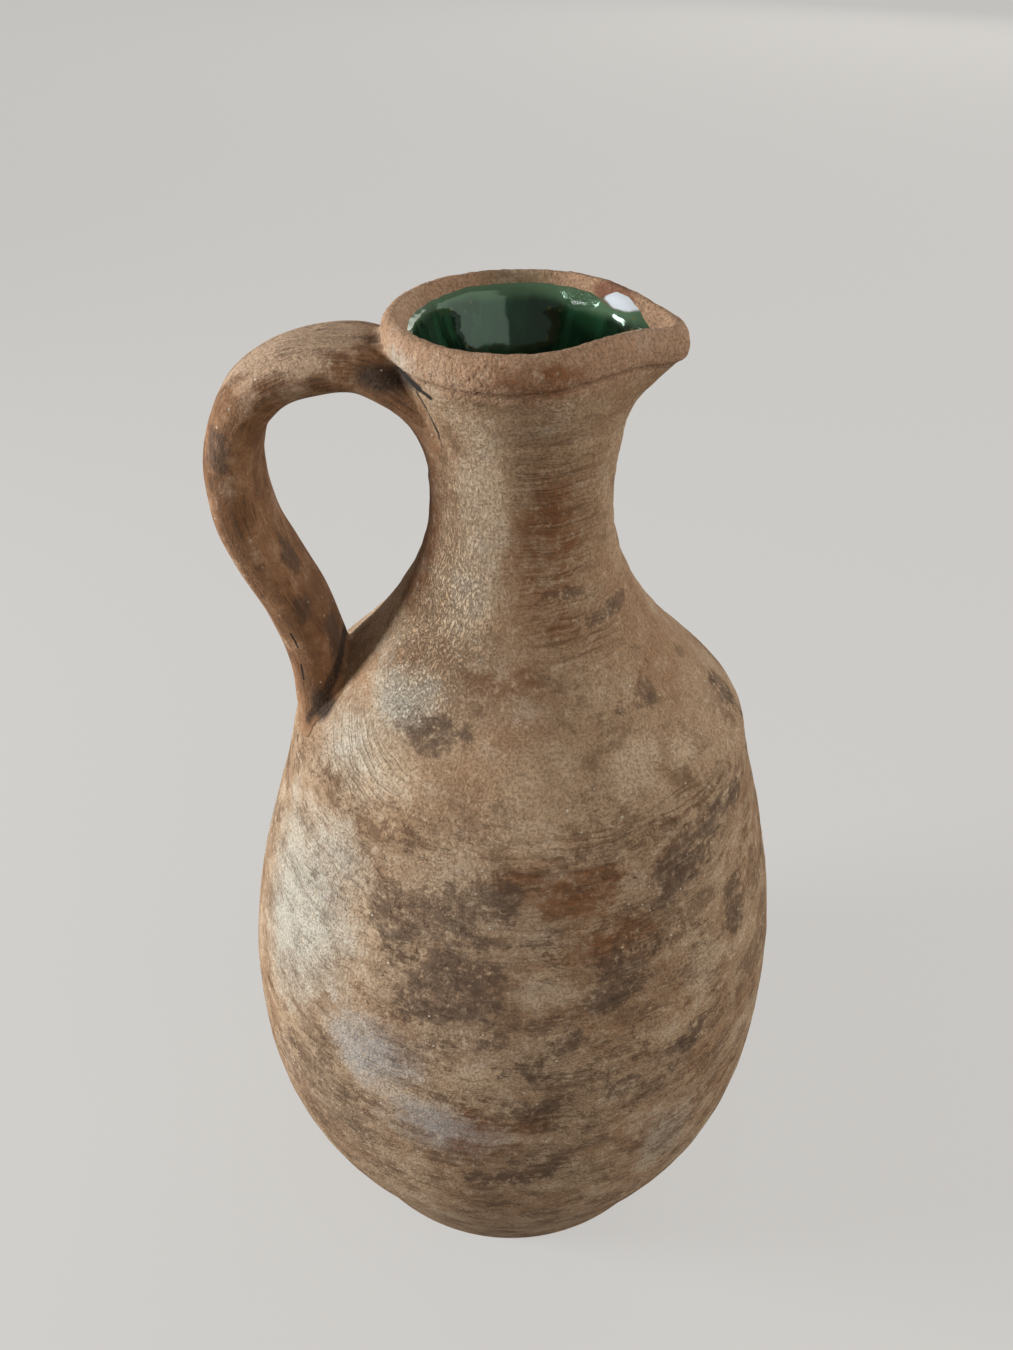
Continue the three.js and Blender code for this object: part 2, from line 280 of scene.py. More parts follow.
def wall_curves():
    throat_height = JUG_HEIGHT - COLLAR_DROP - COLLAR_UNDERCUT
    lower_belly = BELLY_HEIGHT * EASE_BELOW_BELLY
    upper_belly = SHOULDER_HEIGHT - BELLY_HEIGHT
    shoulder = NECK_HEIGHT - SHOULDER_HEIGHT
    flare = throat_height - NECK_HEIGHT
    below_shoulder = upper_belly * EASE_BELOW_SHOULDER
    above_shoulder = shoulder * EASE_ABOVE_SHOULDER
    return chained((
        (FOOT_RADIUS, 0),
        (FOOT_RADIUS + FOOT_FLARE * lower_belly, lower_belly),
        (BELLY_RADIUS, BELLY_HEIGHT * (1 - EASE_BELOW_BELLY)),
        (BELLY_RADIUS, BELLY_HEIGHT),
        (BELLY_RADIUS, BELLY_HEIGHT + upper_belly * EASE_ABOVE_BELLY),
        (SHOULDER_RADIUS + SHOULDER_TAPER * below_shoulder, SHOULDER_HEIGHT - below_shoulder),
        (SHOULDER_RADIUS, SHOULDER_HEIGHT),
        (SHOULDER_RADIUS - SHOULDER_TAPER * above_shoulder, SHOULDER_HEIGHT + above_shoulder),
        (NECK_RADIUS, NECK_HEIGHT - shoulder * EASE_BELOW_NECK),
        (NECK_RADIUS, NECK_HEIGHT),
        (NECK_RADIUS, NECK_HEIGHT + flare * EASE_ABOVE_NECK),
        (THROAT_RADIUS, throat_height - flare * EASE_BELOW_THROAT),
        (THROAT_RADIUS, throat_height),
    ))


def wall_outline():
    outline = [(FOOT_RADIUS - FOOT_EDGE, 0), (FOOT_RADIUS - FOOT_EDGE * 0.3, FOOT_EDGE * 0.3)]
    for curve, spacing in zip(wall_curves(), (ROW, ROW, ROW, NECK_ROW)):
        outline += [point for point in stepped(curve, spacing) if point[1] > FOOT_EDGE]
    return outline


def quarter_round(start, end, leaves_level):
    """A quarter of an ellipse, which leaves its start level or upright."""
    bend = 0.5523
    level = (end[0] - start[0]) * bend
    upright = (end[1] - start[1]) * bend
    if leaves_level:
        handles = ((start[0] + level, start[1]), (end[0], end[1] - upright))
    else:
        handles = ((start[0], start[1] + upright), (end[0] - level, end[1]))
    return [bezier((start, *handles, end), i / COLLAR_ROWS) for i in range(1, COLLAR_ROWS + 1)]


def collar_outline():
    base = (THROAT_RADIUS + COLLAR_LEDGE, JUG_HEIGHT - COLLAR_DROP)
    bulge = (COLLAR_RADIUS, JUG_HEIGHT - COLLAR_DROP * (1 - COLLAR_BULGE))
    rim = (RIM_RADIUS, JUG_HEIGHT)
    return [base, *quarter_round(base, bulge, True), *quarter_round(bulge, rim, False)]


WALL_OUTLINE = wall_outline()
OUTER_OUTLINE = WALL_OUTLINE + collar_outline()


def outer_radius(height):
    for (low_radius, low), (high_radius, high) in zip(OUTER_OUTLINE, OUTER_OUTLINE[1:]):
        if low <= height <= high and high > low:
            return low_radius + (high_radius - low_radius) * (height - low) / (high - low)
    return FOOT_RADIUS if height < FOOT_EDGE else RIM_RADIUS


def inner_radius(height):
    """The inner face of the wall, which is one wall's thickness from the nearest point of its outside."""
    near = [point for point in WALL_OUTLINE if abs(point[1] - height) < WALL]
    return min(radius - math.sqrt(WALL ** 2 - (level - height) ** 2) for radius, level in near)


def inner_outline(spacing):
    corner_height = FLOOR_THICKNESS + FLOOR_ROUND
    corner_radius = inner_radius(corner_height)
    outline = [(0, FLOOR_THICKNESS), (corner_radius * MIDDLE_OF_FLOOR, FLOOR_THICKNESS)]
    for step in range(FLOOR_ROWS + 1):
        turn = step / FLOOR_ROWS * math.pi / 2
        radius = corner_radius - FLOOR_ROUND * (1 - math.sin(turn))
        outline.append((radius, corner_height - FLOOR_ROUND * math.cos(turn)))
    highest = JUG_HEIGHT - BEVEL_DROP - WALL / 2
    steps = math.ceil((highest - corner_height) / spacing)
    for step in range(1, steps + 1):
        height = corner_height + (highest - corner_height) * step / steps
        outline.append((inner_radius(height), height))
    outline.append((BEVEL_RADIUS, JUG_HEIGHT - BEVEL_DROP))
    return outline


def bevel_point(height):
    share = (height - JUG_HEIGHT + BEVEL_DROP) / BEVEL_DROP
    return BEVEL_RADIUS + (BEVEL_TOP_RADIUS - BEVEL_RADIUS) * share, height


def offset(outline, distance):
    """An open outline moved sideways, to the left of its direction of travel."""
    moved = []
    for index, (radius, height) in enumerate(outline):
        before = Vector(outline[max(index - 1, 0)])
        after = Vector(outline[min(index + 1, len(outline) - 1)])
        along = (after - before).normalized()
        moved.append((max(radius - along.y * distance, 0), height + along.x * distance))
    return moved


# What the hands do to the turned clay: out of true, and drawn out at the lip

def run_out(height):
    shift = 0
    for (low, low_shift), (high, high_shift) in zip(RUN_OUT, RUN_OUT[1:]):
        shift += (high_shift - low_shift) * smoothstep(height, low, high)
    return shift


def lip_shift(angle, height):
    rise = min(max((height - JUG_HEIGHT + LIP_DEPTH) / LIP_RISE, 0), 1) ** 3
    turn = turn_from(LIP_TURN, angle)
    lip = math.exp(-(turn / LIP_SPREAD) ** 2)
    pinch = sum(math.exp(-((turn + side * PINCH_TURN) / PINCH_SPREAD) ** 2) for side in (-1, 1))
    return rise * (LIP_REACH * lip - PINCH_DEPTH * pinch), rise * (PINCH_LIFT * pinch - LIP_DROOP * lip)


def drawn_out(place):
    radius = math.hypot(place.x, place.y)
    if radius < 0.01:
        return place
    out, up = lip_shift(math.atan2(place.y, place.x), place.z)
    scale = (radius + out) / radius
    return Vector((place.x * scale + run_out(place.z), place.y * scale, place.z + up))


# Modelling steps shared by the pieces

def draw_outline(name, outline):
    bpy.ops.mesh.primitive_plane_add(size=1)
    piece = bpy.context.object
    piece.name = name
    bpy.ops.object.mode_set(mode="EDIT")
    bpy.ops.mesh.merge(type="CENTER")
    bpy.ops.transform.translate(value=(outline[0][0], 0, outline[0][1]))
    for (radius, height), (next_radius, next_height) in zip(outline, outline[1:]):
        step = (next_radius - radius, 0, next_height - height)
        bpy.ops.mesh.extrude_region_move(TRANSFORM_OT_translate={"value": step})
    return piece


def turn_on_wheel(turns):
    bpy.ops.mesh.select_all(action="SELECT")
    bpy.ops.mesh.spin(steps=turns, angle=2 * math.pi, center=(0, 0, 0), axis=(0, 0, 1))
    close_up()


def weld():
    bpy.ops.mesh.select_all(action="SELECT")
    bpy.ops.mesh.remove_doubles(threshold=WELD)
    bpy.ops.mesh.select_all(action="SELECT")


def close_up():
    weld()
    bpy.ops.mesh.normals_make_consistent(inside=False)
    bpy.ops.object.mode_set(mode="OBJECT")


def move_corners(piece, move):
    corners = [(corner, corner.co.copy(), corner.normal.copy()) for corner in piece.data.vertices]
    for corner, place, normal in corners:
        corner.co = move(place, normal)
    piece.data.update()


def settle(piece, node, finish):
    piece.scale = (MM, MM, MM)
    bpy.ops.object.transform_apply(location=True, rotation=True, scale=True)
    bpy.ops.object.shade_smooth()
    piece.data.materials.clear()
    piece.data.materials.append(finish)
    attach(piece, "root")
    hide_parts(node)
    bpy.ops.object.select_all(action="DESELECT")


# Hand-made unevenness, worked into the clay along its surface

def lumps(place, sizes):
    return sum(depth * noise.noise(place / size) for depth, size in sizes)


def waves(angle, along, sizes):
    """Noise on a cylinder, so that it meets itself all the way round."""
    total = 0
    for depth, pace, length in sizes:
        place = Vector((math.cos(angle) * pace, math.sin(angle) * pace, along / length))
        total += depth * noise.noise(place)
    return total


def throwing(place, angle):
    return waves(angle, place.z + angle / (2 * math.pi) * SPIRAL_PITCH, THROWING_WAVES)


def grooved(place, angle):
    wander = waves(angle, place.z, GROOVE_WAVES)
    depth = 0
    for height, deepest, middle, reach in GROOVES:
        rise = (place.z + wander - height) / GROOVE_WIDTH
        if abs(rise) < 3:
            turn = turn_from(math.radians(middle), angle) / math.radians(reach)
            depth += deepest * math.exp(-rise ** 2 - turn ** 4)
    return depth


def gouged(place):
    depth = 0
    for centre, radius, deepest in GOUGES:
        away = (place - Vector(centre)).length / radius
        if away < 2:
            depth += deepest * math.exp(-away ** 4)
    return depth


def worked_depth(place, normal):
    height = place.z
    angle = math.atan2(place.y, place.x)
    outside = normal.x * place.x + normal.y * place.y > 0 or height > CREST_START
    if height < FOOT_EDGE * 2 or not outside:
        return 0
    neck = smoothstep(height, *NECK_MARKS_IN) * (1 - smoothstep(height, *NECK_MARKS_OUT))
    collar = smoothstep(height, *COLLAR_GRAINS_IN)
    right_side = 0.5 + 0.5 * math.cos(angle - RIDGED_SIDE)
    ridges = RIDGES + NECK_RIDGES * neck * right_side * (1 - collar)
    ridges += BELLY_RIDGES * smoothstep(height, *BELLY_MARKS_IN)
    depth = LEAST_DEPTH + ridges * throwing(place, angle) + lumps(place, DENTS)
    depth += lumps(place, SWELLS) * (1 - collar) + lumps(place, GRAINS) * collar
    depth += grooved(place, angle) + gouged(place)
    return max(depth, 0) * smoothstep(height, *FOOT_MARKS_IN)


def make_vessel(finish):
    crest = (RIM_RADIUS + BEVEL_TOP_RADIUS) / 2
    bevel = [
        (crest, JUG_HEIGHT + CREST_ROUND * 0.1),
        (BEVEL_TOP_RADIUS + CREST_ROUND * 0.4, JUG_HEIGHT - CREST_ROUND * 0.2),
        *(bevel_point(JUG_HEIGHT - CREST_ROUND - step * BEVEL_ROW) for step in range(BEVEL_ROWS)),
    ]
    foot = FOOT_RADIUS - FOOT_EDGE
    outline = [
        (0, FOOT_DISH),
        (foot * MIDDLE_OF_UNDERSIDE, FOOT_DISH),
        (foot - FOOT_RING - FOOT_RING_SLOPE, FOOT_DISH),
        (foot - FOOT_RING, 0),
        (foot - FOOT_RING / 2, 0),
        *OUTER_OUTLINE,
        *bevel,
        *reversed(inner_outline(INNER_ROW)),
    ]
    piece = draw_outline("jug_body", outline)
    turn_on_wheel(TURNS)
    move_corners(piece, lambda place, normal: drawn_out(place - normal * worked_depth(place, normal)))
    settle(piece, "vessel", finish)


# Strap handle, skinned over rounded-square sections along its centre line

def strap_curves():
    root = NECK_RADIUS - WALL
    crown_run = (HANDLE_CROWN_RADIUS - root) * EASE_AT_CROWN
    crown_drop = HANDLE_CROWN_HEIGHT - HANDLE_REACH_HEIGHT
    foot_drop = HANDLE_REACH_HEIGHT - HANDLE_FOOT_HEIGHT
    corner = HANDLE_CROWN_RADIUS + (HANDLE_REACH - HANDLE_CROWN_RADIUS) * EASE_ROUND_CORNER
    return chained((
        (root, HANDLE_TOP_HEIGHT - HANDLE_ROOT_DIP),
        (root + crown_run, HANDLE_TOP_HEIGHT + HANDLE_ROOT_LIFT),
        (HANDLE_CROWN_RADIUS - crown_run, HANDLE_CROWN_HEIGHT),
        (HANDLE_CROWN_RADIUS, HANDLE_CROWN_HEIGHT),
        (corner, HANDLE_CROWN_HEIGHT),
        (HANDLE_REACH, HANDLE_REACH_HEIGHT + crown_drop * EASE_ROUND_CORNER),
        (HANDLE_REACH, HANDLE_REACH_HEIGHT),
        (HANDLE_REACH, HANDLE_REACH_HEIGHT - foot_drop * EASE_BELOW_REACH),
        (HANDLE_FOOT_RADIUS, HANDLE_FOOT_HEIGHT + foot_drop * EASE_ABOVE_FOOT),
        (HANDLE_FOOT_RADIUS, HANDLE_FOOT_HEIGHT),
        (HANDLE_FOOT_RADIUS, HANDLE_FOOT_HEIGHT - HANDLE_END / 3),
        (HANDLE_FOOT_RADIUS - HANDLE_TUCK / 2, HANDLE_FOOT_HEIGHT - HANDLE_END * 2 / 3),
        (HANDLE_FOOT_RADIUS - HANDLE_TUCK, HANDLE_FOOT_HEIGHT - HANDLE_END),
    ))


STRAP_LINE = [strap_curves()[0][0]]
for curve in strap_curves():
    STRAP_LINE += stepped(curve, STRAP_ROW)
STRAP_REACHED = [0]
for here, there in zip(STRAP_LINE, STRAP_LINE[1:]):
    STRAP_REACHED.append(STRAP_REACHED[-1] + math.dist(here, there))
STRAP_LENGTH = STRAP_REACHED[-1]


def strap_centre(run):
    wanted = min(max(run, 0), 1) * STRAP_LENGTH
    low, high = 0, len(STRAP_REACHED) - 1
    while high - low > 1:
        middle = (low + high) // 2
        if STRAP_REACHED[middle] <= wanted:
            low = middle
        else:
            high = middle
    share = (wanted - STRAP_REACHED[low]) / (STRAP_REACHED[high] - STRAP_REACHED[low])
    radius, height = (a + (b - a) * share for a, b in zip(STRAP_LINE[low], STRAP_LINE[high]))
    return Vector((-radius, 0, height))


def strap_frame(run):
    step = 1 / STRAP_LENGTH
    along = (strap_centre(run + step) - strap_centre(run - step)).normalized()
    across = Vector((0, 1, 0))
    return strap_centre(run), across, across.cross(along)


def strap_place(run, side, grow=0):
    centre, across, outward = strap_frame(run)
    from_root = min(run, 1 - run) * STRAP_LENGTH
    spread = ROOT_SPREAD * math.exp(-(from_root / ROOT_LENGTH) ** 2)
    thickness = STRAP_TOP_THICKNESS + (STRAP_FOOT_THICKNESS - STRAP_TOP_THICKNESS) * run
    power = 2 / STRAP_SQUARENESS
    level = math.copysign(abs(math.cos(side)) ** power, math.cos(side))
    raised = math.copysign(abs(math.sin(side)) ** power, math.sin(side))
    half_width = (STRAP_WIDTH + spread) / 2 + grow
    return centre + across * half_width * level + outward * (thickness / 2 + grow) * raised


def pulled_depth(run, side):
    return PULLED_DEPTH + waves(side, run * STRAP_LENGTH, PULLED_WAVES)


def off_wall(place):
    return math.hypot(place.x - run_out(place.z), place.y) - outer_radius(place.z)


def on_wall(place, depth=0):
    shift = run_out(place.z)
    radius = math.hypot(place.x - shift, place.y)
    scale = (outer_radius(place.z) - depth) / radius
    return Vector(((place.x - shift) * scale + shift, place.y * scale, place.z))


def make_handle(finish):
    bpy.ops.mesh.primitive_grid_add(x_subdivisions=STRAP_RINGS, y_subdivisions=STRAP_SIDES, size=1)
    piece = bpy.context.object
    piece.name = "strap_handle"
    girth = STRAP_WIDTH * 2 + STRAP_TOP_THICKNESS + STRAP_FOOT_THICKNESS
    for loop in piece.data.uv_layers[0].data:
        loop.uv = (loop.uv[0] * STRAP_LENGTH * MM, loop.uv[1] * girth * MM)

    def wrap(place, _):
        run = place.x + 0.5
        side = (place.y + 0.5) * 2 * math.pi
        skin = strap_place(run, side, -pulled_depth(run, side))
        return on_wall(skin, ROOT_DEPTH) if off_wall(skin) < -ROOT_DEPTH else skin

    move_corners(piece, wrap)
    bpy.ops.object.mode_set(mode="EDIT")
    weld()
    bpy.ops.mesh.fill_holes(sides=0)
    close_up()
    settle(piece, "handle", finish)


# Luting clay: a fillet drawn from the strap's skin down on to the wall, all round the joint

def meeting(side, buried, free):
    """The share of the strap's length at which this side of it comes out of the wall."""
    for _ in range(24):
        middle = (buried + free) / 2
        if off_wall(strap_place(middle, side)) < 0:
            buried = middle
        else:
            free = middle
    return free


def drawn_reach(side, level, outer, under, under_start):
    """How far the clay is drawn, by direction round the strap."""
    above = smoothstep(math.sin(side), OUTER_START, 1)
    below = smoothstep(-math.sin(side), under_start, 1)
    return level + outer * above + under * below


def make_luting(name, node, joint_runs, up_strap, up_wall, finish):
    ring = 2
    bpy.ops.mesh.primitive_torus_add(
        major_radius=ring, minor_radius=1, major_segments=FILLET_SIDES, minor_segments=FILLET_PARTS,
    )
    piece = bpy.context.object
    piece.name = name
    buried, free = joint_runs
    direction = math.copysign(1 / STRAP_LENGTH, free - buried)
    joints = {}

    def joint(side):
        key = round(side, 4)
        if key not in joints:
            run = meeting(side, buried, free)
            root = strap_place(run, side)
            end_run = run + direction * drawn_reach(side, *up_strap)
            strap_end = strap_place(end_run, side, -pulled_depth(end_run, side) - FILLET_TUCK)
            outward = (root - strap_centre(run)).normalized()
            wall_end = on_wall(root + outward * drawn_reach(side, *up_wall))
            off_axis = Vector((wall_end.x, wall_end.y, 0)).normalized()
            wall_end = on_wall(wall_end, worked_depth(wall_end, off_axis) + FILLET_TUCK)
            joints[key] = (root - outward * FILLET_TUCK, strap_end, wall_end, strap_centre(run))
        return joints[key]

    def wrap(place, _):
        side = math.atan2(place.y, place.x)
        part = math.atan2(place.z, math.hypot(place.x, place.y) - ring) / math.pi
        root, strap_end, wall_end, centre = joint(side)
        inward = (centre - root).normalized() * FILLET_SINK
        if part >= 0:
            rest = 1 - part
            skin = strap_end * rest ** 2 + root * 2 * rest * part + wall_end * part ** 2
            towards = ((strap_end - root) + (wall_end - root)).normalized()
            return skin + towards * lumps(skin, FILLET_LUMPS) * math.sin(math.pi * part)
        rest = -part
        inner = on_wall(root + inward, FILLET_BACK_DEPTH)
        low = wall_end + (inner - wall_end).normalized() * FILLET_WALL_EDGE
        high = strap_end + inward * FILLET_STRAP_EDGE
        if rest > 0.5:
            return low.lerp(inner, (1 - rest) * 2)
        return high.lerp(inner, rest * 2)

    move_corners(piece, wrap)
    bpy.ops.object.mode_set(mode="EDIT")
    close_up()
    settle(piece, node, finish)


# Glaze: a poured skin over the whole inside, with a wandering edge on the bevel

def glaze_blob(angle):
    """1 at the raised blob beside the lip, 0 away from it."""
    return math.exp(-(turn_from(BLOB_TURN, angle) / BLOB_SPREAD) ** 4)


def glaze_edge(angle):
    far_side = (0.5 + 0.5 * math.sin(angle)) ** 2
    rise = GLAZE_RISE * max(far_side, glaze_blob(angle) * BLOB_RISE)
    return JUG_HEIGHT - GLAZE_EDGE_DROP + rise + waves(angle, 0, GLAZE_EDGE_WAVES)


def clay_radius_inside(height):
    """Of the wall's inside and, above it, of the bevel."""
    if height < INNER_WALL_TOP:
        return inner_radius(height)
    return bevel_point(max(height, JUG_HEIGHT - BEVEL_DROP))[0]


def make_glaze(finish):
    bevel_foot = JUG_HEIGHT - BEVEL_DROP
    face = inner_outline(GLAZE_ROW)
    face += [bevel_point(bevel_foot + step * GLAZE_BEVEL_ROW) for step in range(1, GLAZE_BEVEL_ROWS + 1)]
    skin = offset(face, GLAZE_THICKNESS)
    back = offset(face, -GLAZE_BOND)
    outline = skin + list(reversed(back[::2])) + [(0, FLOOR_THICKNESS - GLAZE_BOND)]
    piece = draw_outline("glaze_coat", outline)
    turn_on_wheel(GLAZE_TURNS)

    def pour(place, _):
        angle = math.atan2(place.y, place.x)
        radius = math.hypot(place.x, place.y)
        if place.z > GLAZE_EDGE_ZONE:
            clay_radius = clay_radius_inside(place.z)
            if radius < clay_radius:
                edge = glaze_edge(angle)
                bare = smoothstep(place.z, edge - GLAZE_FADE, edge + GLAZE_OVERRUN)
                lift = BLOB_LIFT * glaze_blob(angle) * smoothstep(place.z, *BLOB_LIFTED_HEIGHTS)
                scale = (radius + bare * (GLAZE_THICKNESS + GLAZE_TUCK) + lift * BLOB_LEAN) / radius
                place = Vector((place.x * scale, place.y * scale, place.z + lift))
        return drawn_out(place)

    move_corners(piece, pour)
    settle(piece, "glaze_lining", finish)


# Finishes. Patterns are sized in millimetres on the piece.

def metres(values):
    return tuple(value * MM for value in values)


def srgb(red, green, blue):
    def linear(value):
        share = value / 255
        return share / 12.92 if share <= 0.04045 else ((share + 0.055) / 1.055) ** 2.4
    return (linear(red), linear(green), linear(blue), 1)


class Field:
    """One output socket, so that what changes over the surface is written as an expression."""

    def __init__(self, tree, socket):
        self.tree = tree
        self.socket = socket

    def maths(self, operation, *values):
        return self.tree.add("ShaderNodeMath", {"operation": operation}, dict(enumerate(values)))

    def __add__(self, other):
        return self.maths("ADD", self, other)

    def __sub__(self, other):
        return self.maths("SUBTRACT", self, other)

    def __rsub__(self, other):
        return self.maths("SUBTRACT", other, self)

    def __mul__(self, other):
        return self.maths("MULTIPLY", self, other)

    def __abs__(self):
        return self.maths("ABSOLUTE", self)

    __radd__ = __add__
    __rmul__ = __mul__

    def at_least(self, other):
        return self.maths("MAXIMUM", self, other)


def strongest(fields):
    return reduce(Field.at_least, fields)


class Nodes:
    """The nodes of a material or a world, which are all made by one method, add."""

    def __init__(self, owner):
        owner.use_nodes = True
        self.nodes = owner.node_tree.nodes
        self.links = owner.node_tree.links

    def put(self, socket, value):
        if isinstance(value, Field):
            self.links.new(value.socket, socket)
        else:
            socket.default_value = value

    def add(self, kind, settings=None, sockets=None, output=0):
        node = self.nodes.new(kind)
        for name, value in (settings or {}).items():
            setattr(node, name, value)
        for key, value in (sockets or {}).items():
            self.put(node.inputs[key], value)
        return Field(self, node.outputs[output])

    def mix(self, share, first, second):
        return self.add("ShaderNodeMix", {"data_type": "RGBA"}, {0: share, 6: first, 7: second}, 2)

    def coated(self, colour, coats):
        """A colour under one coat after another, each with the share that it covers."""
        for share, coat in coats:
            colour = self.mix(share, colour, coat)
        return colour

    def seen_directly(self):
        """1 for the camera and in reflections, 0 for the light that comes off this."""
        rays = ("Is Camera Ray", "Is Glossy Ray", "Is Transmission Ray")
        return strongest(self.add("ShaderNodeLightPath", None, None, ray) for ray in rays)


class Finish(Nodes):
    """A material, whose shader is filled by one method, wear."""

    def __init__(self, name):
        self.material = bpy.data.materials.new(name)
        super().__init__(self.material)
        coordinates = self.nodes.new("ShaderNodeTexCoord")
        self.place = Field(self, coordinates.outputs["Object"])
        self.along = Field(self, coordinates.outputs["UV"])

    def wear(self, values):
        for name, value in values.items():
            self.put(self.nodes["Principled BSDF"].inputs[name], value)

    def wear_clay(self, colour, mottle, roughness, relief):
        """Relief is in millimetres."""
        self.wear({
            "Base Color": colour,
            "Roughness": self.ramp(mottle, 0.3, 0.7, *roughness),
            "Specular IOR Level": CLAY_GLOSS,
            "Normal": self.bumped(relief),
        })

    def vector(self, operation, first, second, output=0):
        return self.add("ShaderNodeVectorMath", {"operation": operation}, {0: first, 1: second}, output)

    def sized(self, vector, size):
        sizes = size if isinstance(size, tuple) else (size, size, size)
        sockets = {"Vector": vector, "Scale": metres(sizes)}
        return self.add("ShaderNodeMapping", {"vector_type": "TEXTURE"}, sockets)

    def noise(self, vector, size, detail=4, roughness=0.55):
        place = self.sized(vector, size)
        sockets = {"Vector": place, "Scale": 1, "Detail": detail, "Roughness": roughness}
        return self.add("ShaderNodeTexNoise", None, sockets)

    def ramp(self, value, low, high, start=0, end=1):
        sockets = {"Value": value, "From Min": low, "From Max": high, "To Min": start, "To Max": end}
        return self.add("ShaderNodeMapRange", {"interpolation_type": "SMOOTHSTEP"}, sockets)

    def specks(self, vector, size, low, high):
        sockets = {"Vector": self.sized(vector, size), "Scale": 1}
        return self.ramp(self.add("ShaderNodeTexVoronoi", None, sockets), low, high)

    def crease(self, value, width):
        """1 along the thin lines where a noise crosses its middle value."""
        return self.ramp(abs(value - 0.5), 0, width, 1, 0)

    def warped(self, amount, size):
        sockets = {"Vector": self.sized(self.place, size), "Scale": 1, "Detail": 3}
        wander = self.add("ShaderNodeTexNoise", None, sockets, 1)
        centred = self.vector("SUBTRACT", wander, (0.5, 0.5, 0.5))
        moved = self.add("ShaderNodeVectorMath", {"operation": "SCALE"}, {0: centred, "Scale": amount * MM})
        return self.vector("ADD", self.place, moved)

    def height(self):
        return self.add("ShaderNodeSeparateXYZ", None, {0: self.place}, 2)

    def patch(self, vector, centre, reach, hardness=0.5):
        """1 inside an egg of clay round a centre, fading to 0 at its edge."""
        away = self.vector("SUBTRACT", vector, metres(centre))
        shares = self.vector("DIVIDE", away, metres(reach))
        distance = self.vector("LENGTH", shares, (0, 0, 0), 1)
        return self.ramp(distance, hardness, 1, 1, 0)

    def patches(self, vector, places, hardness=0.5):
        return strongest(
            self.patch(vector, centre, reach, hardness) * strength for centre, reach, strength in places
        )

    def crack(self, vector, start, end, width):
        """1 on a line from start to end, fading to 0 at its width, in the space that cracks squashes."""
        first, last = (Vector((x, y * LOOSE, z)) * MM for x, y, z in (start, end))
        run = last - first
        away = self.vector("SUBTRACT", vector, tuple(first))
        share = self.vector("DOT_PRODUCT", away, tuple(run / run.length_squared), 1)
        inside = self.add("ShaderNodeClamp", None, {0: share})
        reached = self.add("ShaderNodeVectorMath", {"operation": "SCALE"}, {0: tuple(run), "Scale": inside})
        distance = self.vector("LENGTH", self.vector("SUBTRACT", away, reached), (0, 0, 0), 1)
        return self.ramp(distance, width * MM * 0.4, width * MM, 1, 0)

    def cracks(self, vector, lines):
        """Distance along Y counts less, so that the cracks stay on the skin."""
        vector = self.vector("MULTIPLY", vector, (1, LOOSE, 1))
        return strongest(self.crack(vector, *line) for line in lines)

    def bumped(self, relief):
        """A normal from a relief in millimetres."""
        return self.add("ShaderNodeBump", None, {"Strength": 1, "Distance": MM, "Height": relief})


# Colours of the clay, of what the kiln left on it and of the gaps; ash, smoke and gaps also paint light and
# shade
TAN = srgb(187, 158, 127)
WARM_TAN = srgb(165, 130, 98)
BROWN = srgb(110, 86, 64)
RED_BROWN = srgb(138, 88, 52)
SMOKE_AND_SHADE = srgb(86, 70, 60)
ASH_AND_LIGHT = srgb(203, 198, 183)
BLOOM = srgb(170, 174, 176)
PALE = srgb(209, 184, 154)
GROG = srgb(232, 222, 202)
LINE_BROWN = srgb(106, 74, 52)
PINK_TAN = srgb(186, 147, 118)
STRAP_TAN = srgb(164, 121, 85)
STRAP_BROWN = srgb(132, 91, 60)
# Dust, and painted highlight on the strap's lit top and outer face
STRAP_DUST_AND_HIGHLIGHT = srgb(202, 173, 145)
STRAP_RUST = srgb(118, 78, 48)
DARK_GAP_AND_SHADE = srgb(38, 30, 26)
RUST = srgb(112, 66, 48)
GLAZE_WASH = srgb(96, 92, 66)

# Colours of the glaze; the bluish white is a painted reflection
GLAZE_DEEP = srgb(19, 36, 23)
GLAZE_GREEN = srgb(32, 68, 43)
GLAZE_DRIP = srgb(46, 92, 62)
GLAZE_THIN = srgb(84, 112, 82)
GLAZE_OLIVE = srgb(92, 92, 50)
GLAZE_PAINTED_REFLECTION = srgb(214, 219, 226)
GLAZE_GLINT = (0.5, 0.75, 0.58, 1)

# Colours of the studio
BACKDROP = srgb(190, 188, 185)
PAPER = srgb(98, 97, 95)
PAPER_BOUNCE = srgb(70, 66, 62)
AIR = (0.26, 0.25, 0.235, 1)
BLACK = (0, 0, 0, 1)

# How strongly bare clay shines; 0.5 is usual
CLAY_GLOSS = 0.3

# Heights over which the belly's marks fade at the shoulder, the collar's clay starts and the glaze thins
SHOULDER_FADE = metres((236, 212))
COLLAR_START = metres((327.5, 331))
GLAZE_THINS = metres((332.5, 335.6))
GLAZE_THIN_WANDER = 4 * MM

